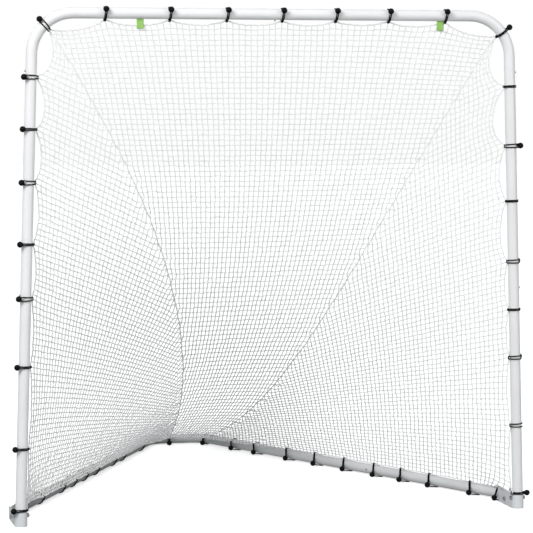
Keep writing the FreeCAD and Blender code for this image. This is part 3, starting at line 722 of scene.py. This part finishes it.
def back_panel(name, first, last):
    """The back panel's threads between two rows. The last row is the next part's, unless it is the foot."""
    parts = Parts()
    for row in range(first, last + (last == BACK_ROWS)):
        half = half_cells(row)
        thread(parts, [net.knots["back", cell, row] for cell in range(-half, half + 1)], ROW_UP)
    widest = half_cells(first)
    for cell in range(-widest, widest + 1):
        line = []
        for row in range(first, last + 1):
            half = half_cells(row)
            if abs(cell) <= half:
                line.append(net.knots["back", cell, row])
            else:
                line.append(net.knots["back", half if cell > 0 else -half, row])
                break
        thread(parts, line, COLUMN_ACROSS)
    return parts.build(name)


def side_panel(name, side, first, last):
    """A side panel's threads between two rows, as the back panel's."""
    parts = Parts()
    for row in range(max(first, 1), last + (last == SIDE_ROWS)):
        thread(parts, [net.knots[side, cell, row] for cell in range(side_cells(row) + 1)], ROW_UP)
    for cell in range(side_cells(last)):
        top = next(row for row in range(first, last + 1) if side_cells(row) >= cell)
        thread(parts, [net.knots[side, cell, row] for row in range(top, last + 1)], COLUMN_ACROSS)
    return parts.build(name)


RIGID_UP_TO = 0.030


def fold_weights(points):
    """How far round the base's hinge each point follows it: none at the posts, all of it near the ground."""
    behind = np.maximum(points[:, 1] - HINGE[1], 0)
    above = np.maximum(points[:, 2] - (BASE_Z + RIGID_UP_TO), 0)
    angle = np.arctan2(above, behind + 1e-9)
    weights = 1 - angle / (math.pi / 2)
    weights[behind <= 0] = 0
    return np.clip(weights, 0, 1)


def folds(piece):
    """Bakes the piece's placement into its mesh and works out how far each point would follow the base's hinge;
    the weights are not used.
    """
    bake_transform(piece)
    co = np.zeros(len(piece.data.vertices) * 3)
    piece.data.vertices.foreach_get("co", co)
    weights = fold_weights(co.reshape(-1, 3)).astype(np.float32)


def dress(piece, material):
    piece.data.materials.append(material)
    return piece


SPLIT_ROW = 34
net_high = dress(back_panel("net_back_high", 0, SPLIT_ROW), NET_TWINE)
net_low = dress(back_panel("net_back_low", SPLIT_ROW, BACK_ROWS), NET_TWINE)
SIDE_SPLIT = 60
sides = {}
for side, word in ((-1, "left"), (1, "right")):
    for part, first, last in (("high", 0, SIDE_SPLIT), ("low", SIDE_SPLIT, SIDE_ROWS)):
        panel = side_panel("net_side_%s_%s" % (word, part), side, first, last)
        sides[word, part] = dress(panel, NET_TWINE)


# ---------------------------------------------------------------- edge rope and seams

WRAP_STEP = 0.005
ROPE_WRAP, ROPE_PITCH = 0.0009, 0.024
SEAM_CORD, SEAM_WRAP, SEAM_PITCH = 0.0016, 0.0011, 0.022


def wrapped_cord(parts, points, radius, wrap_radius, pitch, reference):
    """A cord along the points with a thinner twine wound round it."""
    steps = np.linalg.norm(np.diff(points, axis=0), axis=1)
    length = np.concatenate([[0], np.cumsum(steps)])
    count = max(8, int(length[-1] / WRAP_STEP))
    even = np.linspace(0, length[-1], count)
    core = np.stack([np.interp(even, length, points[:, axis]) for axis in range(3)], 1)
    parts.add(*sweep(core, radius, 7, reference))
    ahead = np.gradient(core, axis=0)
    ahead /= np.linalg.norm(ahead, axis=1)[:, None]
    reference = np.asarray(reference, float)
    across = reference - (ahead @ reference)[:, None] * ahead
    across /= np.linalg.norm(across, axis=1)[:, None]
    third = np.cross(ahead, across)
    turn = even / pitch * 2 * math.pi
    offset = radius + wrap_radius * 0.6
    coil = core + offset * (np.cos(turn)[:, None] * across + np.sin(turn)[:, None] * third)
    parts.add(*sweep(coil, wrap_radius, 5, reference))


def edge_rope(name, line, reference):
    parts = Parts()
    points = smooth_line(knots[line], 4)
    wrapped_cord(parts, points, ROPE, ROPE_WRAP, ROPE_PITCH, reference)
    return dress(parts.build(name), EDGE_TWINE)


top_line = [net.knots["back", cell, 0] for cell in range(-TOP_CELLS, TOP_CELLS + 1)]
rope_top = edge_rope("edge_rope_top", top_line, (0, 1, 0.2))
ropes = {}
seams = {}
for side, word in ((-1, "left"), (1, "right")):
    post_line = [net.knots[side, 0, row] for row in range(SIDE_ROWS + 1)]
    ropes[word] = edge_rope("edge_rope_" + word, post_line, (0.3, 1, 0))
    leg_line = [net.knots[side, cell, SIDE_ROWS] for cell in range(SIDE_CELLS + 1)]
    ropes["leg_" + word] = edge_rope("edge_rope_base_" + word, leg_line, (0, 0.1, 1))
    seam_line = [net.knots["back", side * half_cells(row), row] for row in range(BACK_ROWS + 1)]
    parts = Parts()
    seam_points = smooth_line(knots[seam_line], 4)
    wrapped_cord(parts, seam_points, SEAM_CORD, SEAM_WRAP, SEAM_PITCH, (1, 0, 0.2))
    seams[word] = dress(parts.build("net_seam_" + word), EDGE_TWINE)
foot_line = [net.knots["back", cell, BACK_ROWS] for cell in range(-FOOT_CELLS, FOOT_CELLS + 1)]
rope_foot = edge_rope("edge_rope_back", foot_line, (0, 0.1, 1))


# ---------------------------------------------------------------- bungees

def hull(points):
    """The convex outline of points in a plane, in order."""
    points = sorted(map(tuple, points))

    def chain(row):
        line = []
        for p in row:
            while len(line) > 1 and ((line[-1][0] - line[-2][0]) * (p[1] - line[-2][1])
                                     - (line[-1][1] - line[-2][1]) * (p[0] - line[-2][0])) <= 0:
                line.pop()
            line.append(p)
        return line[:-1]

    return np.array(chain(points) + chain(points[::-1]))


def circle(middle, radius, count):
    turn = np.arange(count) * 2 * math.pi / count
    return np.array(middle) + radius * np.stack([np.cos(turn), np.sin(turn)], 1)


LOOP_POINTS = 72
LEG_SLANT = 0.8
NECK = 0.0040
HOOK = ROPE + CORD * 0.8
HOOK_SHARE = 0.6
OFF_TUBE = 0.0002
TOUCHING = 1.04
CLOSES_IN = 6
OPENS_AT = 0.9


def bungee_loop(parts, middle, along, ball, hook, opening, slant):
    """A doubled elastic cord, taut round the tube, the ball's neck and the net's edge.

    opening is half the gap between its strands. slant is how far they lean along the tube as they rise."""
    out = unit(ball - middle)
    front = np.array((0, -1.0, 0)) if abs(along[1]) < 0.8 else np.array((0, 0, 1.0))
    other = unit(np.cross(along, out))
    if other @ front < 0:
        other = -other
    flat = lambda point: np.array(((point - middle) @ out, (point - middle) @ other))
    ball_at = flat(ball)
    hook_at = flat(hook)
    outline = hull(np.concatenate([circle((0, 0), TUBE + CORD + OFF_TUBE, 120), circle(ball_at, NECK, 24),
                                   circle(hook_at, HOOK, 24)]))
    closed = np.concatenate([outline, outline[:1]])
    length = np.concatenate([[0], np.cumsum(np.linalg.norm(np.diff(closed, axis=0), axis=1))])
    start = length[np.argmax(outline @ unit(ball_at))]
    even = (start + np.arange(LOOP_POINTS) / LOOP_POINTS * length[-1]) % length[-1]
    path = np.stack([np.interp(even, length, closed[:, axis]) for axis in (0, 1)], 1)
    at_hook = np.argmax(path @ unit(hook_at))
    if path[LOOP_POINTS // 8][1] < 0:
        path = np.concatenate([path[:1], path[:0:-1]])
        at_hook = LOOP_POINTS - at_hook
    place = np.arange(LOOP_POINTS)
    going = np.clip(place / at_hook, 0, 1)
    shut = CORD * TOUCHING
    at_edge = max(shut, opening * HOOK_SHARE)
    coming_back = np.clip((place - at_hook) / CLOSES_IN, 0, 1)
    widest = np.where(place <= at_hook, at_edge + (opening - at_edge) * (1 - going),
                      at_edge + (shut - at_edge) * coming_back)
    returning = np.clip((place / LOOP_POINTS - OPENS_AT) / (1 - OPENS_AT), 0, 1)
    widest = widest + (opening - shut) * returning
    around = path[:, :1] * out + path[:, 1:] * other
    lean = slant * around[:, 2] * math.copysign(1, along[1])
    for hand in (-1, 1):
        points = middle + around + (hand * widest + lean)[:, None] * along
        parts.add(*sweep(points, CORD, 10, along, closed=True))
    if at_edge > shut:
        turn = middle + path[at_hook, 0] * out + path[at_hook, 1] * other
        across = np.linspace(-at_edge, at_edge, 9)[:, None] * along
        parts.add(*sweep(turn + across, CORD, 10, out))


def ball_profile():
    """A moulded ball: a small flat with a hole at the neck, and a fine parting line round the middle."""
    rows = [(-BALL * 0.80, 0.0022), (-BALL * 0.955, 0.0024), (-BALL * 0.965, 0.0030)]
    for degrees in range(-72, 90, 6):
        turn = math.radians(degrees)
        swell = 0.00018 if degrees == 0 else 0.0
        rows.append((BALL * math.sin(turn), BALL * math.cos(turn) + swell))
    rows.append((BALL, 0.00001))
    return rows


BALL_ROWS = ball_profile()
V_SHAPED = 0.0075
SNUG = 0.0030
SAME_STATION = 0.060
OPEN_LOOPS = {"post_left": (1.610, 1.235, 0.820), "post_right": (1.360, 0.930, 0.570, 0.315)}


def opening_of(group, middle):
    """Half the gap between a loop's two strands: some are drawn tight and others stand open."""
    if group == "corners":
        return V_SHAPED if middle[0] < 0 else SNUG
    stands_open = any(abs(middle[2] - height) < SAME_STATION for height in OPEN_LOOPS.get(group, ()))
    return V_SHAPED if stands_open else SNUG


for group in GROUPS:
    cords, balls = Parts(), Parts()
    body = BASE if group.startswith("base") or group == "back" else FRONT
    reach = BASE_HOOK if body == BASE else POST_HOOK
    for middle, along, ball in ROWS[group]:
        hook = middle + reach * hook_direction(group, middle)
        slant = LEG_SLANT if group == "base_right" else 0.0
        bungee_loop(cords, middle, along, ball, hook, opening_of(group, middle), slant)
        balls.add(*lathe(BALL_ROWS, ball, ball - middle))
    loop = dress(cords.build("bungee_loops_" + group), CORD_SHEATH)
    knob = dress(balls.build("bungee_knobs_" + group), BALL_PLASTIC)
    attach(loop, body)
    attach(knob, body)
    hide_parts("bungee_cords_" + group)
    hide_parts("bungee_balls_" + group)


# ---------------------------------------------------------------- cloth tags

TAG_DEEP = 0.0016
TAG_CURL = 0.0016
TAG_RIPPLE = 0.0008
TAG_NARROWS = 0.03
TAG_THICK = 0.0012


def cloth_tag(points):
    """A short folded strip round the net's top edge, with a slight curl."""
    low, high = points.min(0), points.max(0)
    middle = (low + high) / 2
    wide = high[0] - low[0]
    high[2] = BAR_Z - TUBE + 0.0004
    tall = high[2] - low[2]
    across, down = 9, 12
    verts = []
    for row in range(down):
        drop = row / (down - 1)
        for column in range(across):
            place = column / (across - 1)
            curl = TAG_CURL * math.sin(math.pi * drop) + TAG_RIPPLE * math.sin(2 * math.pi * place + 3 * drop)
            narrow = 1 - TAG_NARROWS * math.sin(math.pi * drop)
            x = middle[0] + (place - 0.5) * wide * narrow
            verts.append((x, middle[1] - TAG_DEEP / 2 - curl * drop, high[2] - drop * tall))
    quads = np.array([(r * across + c, r * across + c + 1, (r + 1) * across + c + 1, (r + 1) * across + c)
                      for r in range(down - 1) for c in range(across - 1)])
    return np.array(verts), quads, np.zeros((len(quads) * 4, 2))


tags = Parts()
for points in solids_of("tape_tags"):
    tags.add(*cloth_tag(points))
tag_piece = dress(tags.build("cloth_tags"), TAG_TAPE)
thick = tag_piece.modifiers.new("thickness", "SOLIDIFY")
thick.thickness = TAG_THICK
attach(tag_piece, FRONT)
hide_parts("tape_tags")

# ---------------------------------------------------------------- bodies and hidden CAD parts

for piece in (net_high, net_low, *sides.values(), *seams.values()):
    folds(piece)
for word in ("left", "right"):
    folds(ropes[word])
    folds(ropes["leg_" + word])
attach(rope_top, FRONT)
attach(rope_foot, BASE)

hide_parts("net_back")
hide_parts("net_back")
for (word, part), piece in sides.items():
    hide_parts("net_" + word)
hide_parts("border_cord_top")
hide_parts("border_cord_left")
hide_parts("border_cord_right")


for (word, part), piece in sides.items():
    first, last = (0, SIDE_SPLIT) if part == "high" else (SIDE_SPLIT, SIDE_ROWS)


# ---------------------------------------------------------------- stage, light and camera

def flat_material(name, color, glow):
    material, nodes, links, shader = new_material(name, color, 0.9, Specular_IOR_Level=0.0)
    shader.inputs["Emission Color"].default_value = (1, 1, 1, 1)
    shader.inputs["Emission Strength"].default_value = glow
    return material


def stage_object(name, verts, faces, material):
    obj = make_object(name, verts, faces, smooth=False)
    obj.data.materials.append(material)
    obj.visible_diffuse = False
    obj.visible_glossy = False
    obj.visible_transmission = False
    obj.visible_shadow = False


FLOOR_HALF = 40.0
stage_object("floor", [(-FLOOR_HALF, -FLOOR_HALF, 0), (FLOOR_HALF, -FLOOR_HALF, 0),
                       (FLOOR_HALF, FLOOR_HALF, 0), (-FLOOR_HALF, FLOOR_HALF, 0)],
             [(0, 1, 2, 3)], flat_material("floor_white", (0.9, 0.9, 0.9), 0.55))
DOME = 60.0
dome_rows = [(DOME * math.sin(t), DOME * math.cos(t)) for t in np.linspace(-0.6, math.pi / 2 - 0.001, 16)]
dome_verts, dome_quads, _ = lathe(dome_rows, np.zeros(3), (0, 0, 1), 32)
stage_object("backdrop", dome_verts, dome_quads, flat_material("backdrop_white", (0, 0, 0), 1.0))

# The sky is brighter in front of the object than behind it, and a little brighter on the left.
SKY_STRENGTH = 0.90
FRONT_TO_BACK = (1.05, 0.55)
LEFT_TO_RIGHT = (1.08, 0.92)
world = bpy.data.worlds.new("studio")
bpy.context.scene.world = world
world.use_nodes = True
sky, sky_links = world.node_tree.nodes, world.node_tree.links
background = sky["Background"]
direction = add(sky, "ShaderNodeTexCoord")
split = add(sky, "ShaderNodeSeparateXYZ")
sky_links.new(direction.outputs["Generated"], split.inputs["Vector"])
BOTH_WAYS = (-1.0, 1.0)
glow = ramp_of(sky, sky_links, to_range(sky, sky_links, split.outputs["Z"], inside=BOTH_WAYS),
               [(0.0, (0.30, 0.31, 0.31)), (0.42, (0.50, 0.51, 0.51)),
                (0.58, (0.72, 0.73, 0.73)), (1.0, (0.88, 0.89, 0.90))])
facing = add(sky, "ShaderNodeMath", operation="MULTIPLY")
for number, (way, low_high) in enumerate((("Y", FRONT_TO_BACK), ("X", LEFT_TO_RIGHT))):
    share = to_range(sky, sky_links, split.outputs[way], low_high, BOTH_WAYS)
    sky_links.new(share, facing.inputs[number])
shaded = add(sky, "ShaderNodeMath", operation="MULTIPLY")
shaded.inputs[1].default_value = SKY_STRENGTH
sky_links.new(facing.outputs[0], shaded.inputs[0])
sky_links.new(glow.outputs["Color"], background.inputs["Color"])
sky_links.new(shaded.outputs[0], background.inputs["Strength"])


def area_light(name, place, target, size, power):
    light = bpy.data.lights.new(name, "AREA")
    light.shape = "SQUARE"
    light.size = size
    light.energy = power
    obj = bpy.data.objects.new(name, light)
    bpy.context.scene.collection.objects.link(obj)
    obj.location = place
    obj.rotation_euler = (Vector(target) - Vector(place)).to_track_quat("-Z", "Y").to_euler()
    obj.visible_camera = False


area_light("key", (-3.6, -4.6, 4.4), (-0.1, -0.8, 1.5), 2.4, 235)
area_light("fill", (3.8, -5.5, 2.6), (0.2, -0.6, 1.1), 3.0, 75)

CAMERA_LENS = 169.3
CAMERA_SHIFT = 0.0004
CAMERA_LEFT = -2.050
CAMERA_BEFORE = 8.894
CAMERA_UP = 1.574
LOOKS_DOWN = 4.08
CAMERA_ROLL = -0.09
LOOKS_RIGHT = -12.77
camera_data = bpy.data.cameras.new("camera")
camera_data.sensor_width = 36
camera_data.lens = CAMERA_LENS
camera_data.shift_x = CAMERA_SHIFT
camera_data.clip_end = 300
camera = bpy.data.objects.new("camera", camera_data)
bpy.context.scene.collection.objects.link(camera)
camera.location = (CAMERA_LEFT, POST_Y - CAMERA_BEFORE, CAMERA_UP)
camera.rotation_euler = (math.radians(90 - LOOKS_DOWN), math.radians(CAMERA_ROLL), math.radians(LOOKS_RIGHT))
bpy.context.scene.camera = camera
bpy.context.scene.view_settings.view_transform = "Standard"
bpy.context.scene.view_settings.look = "None"
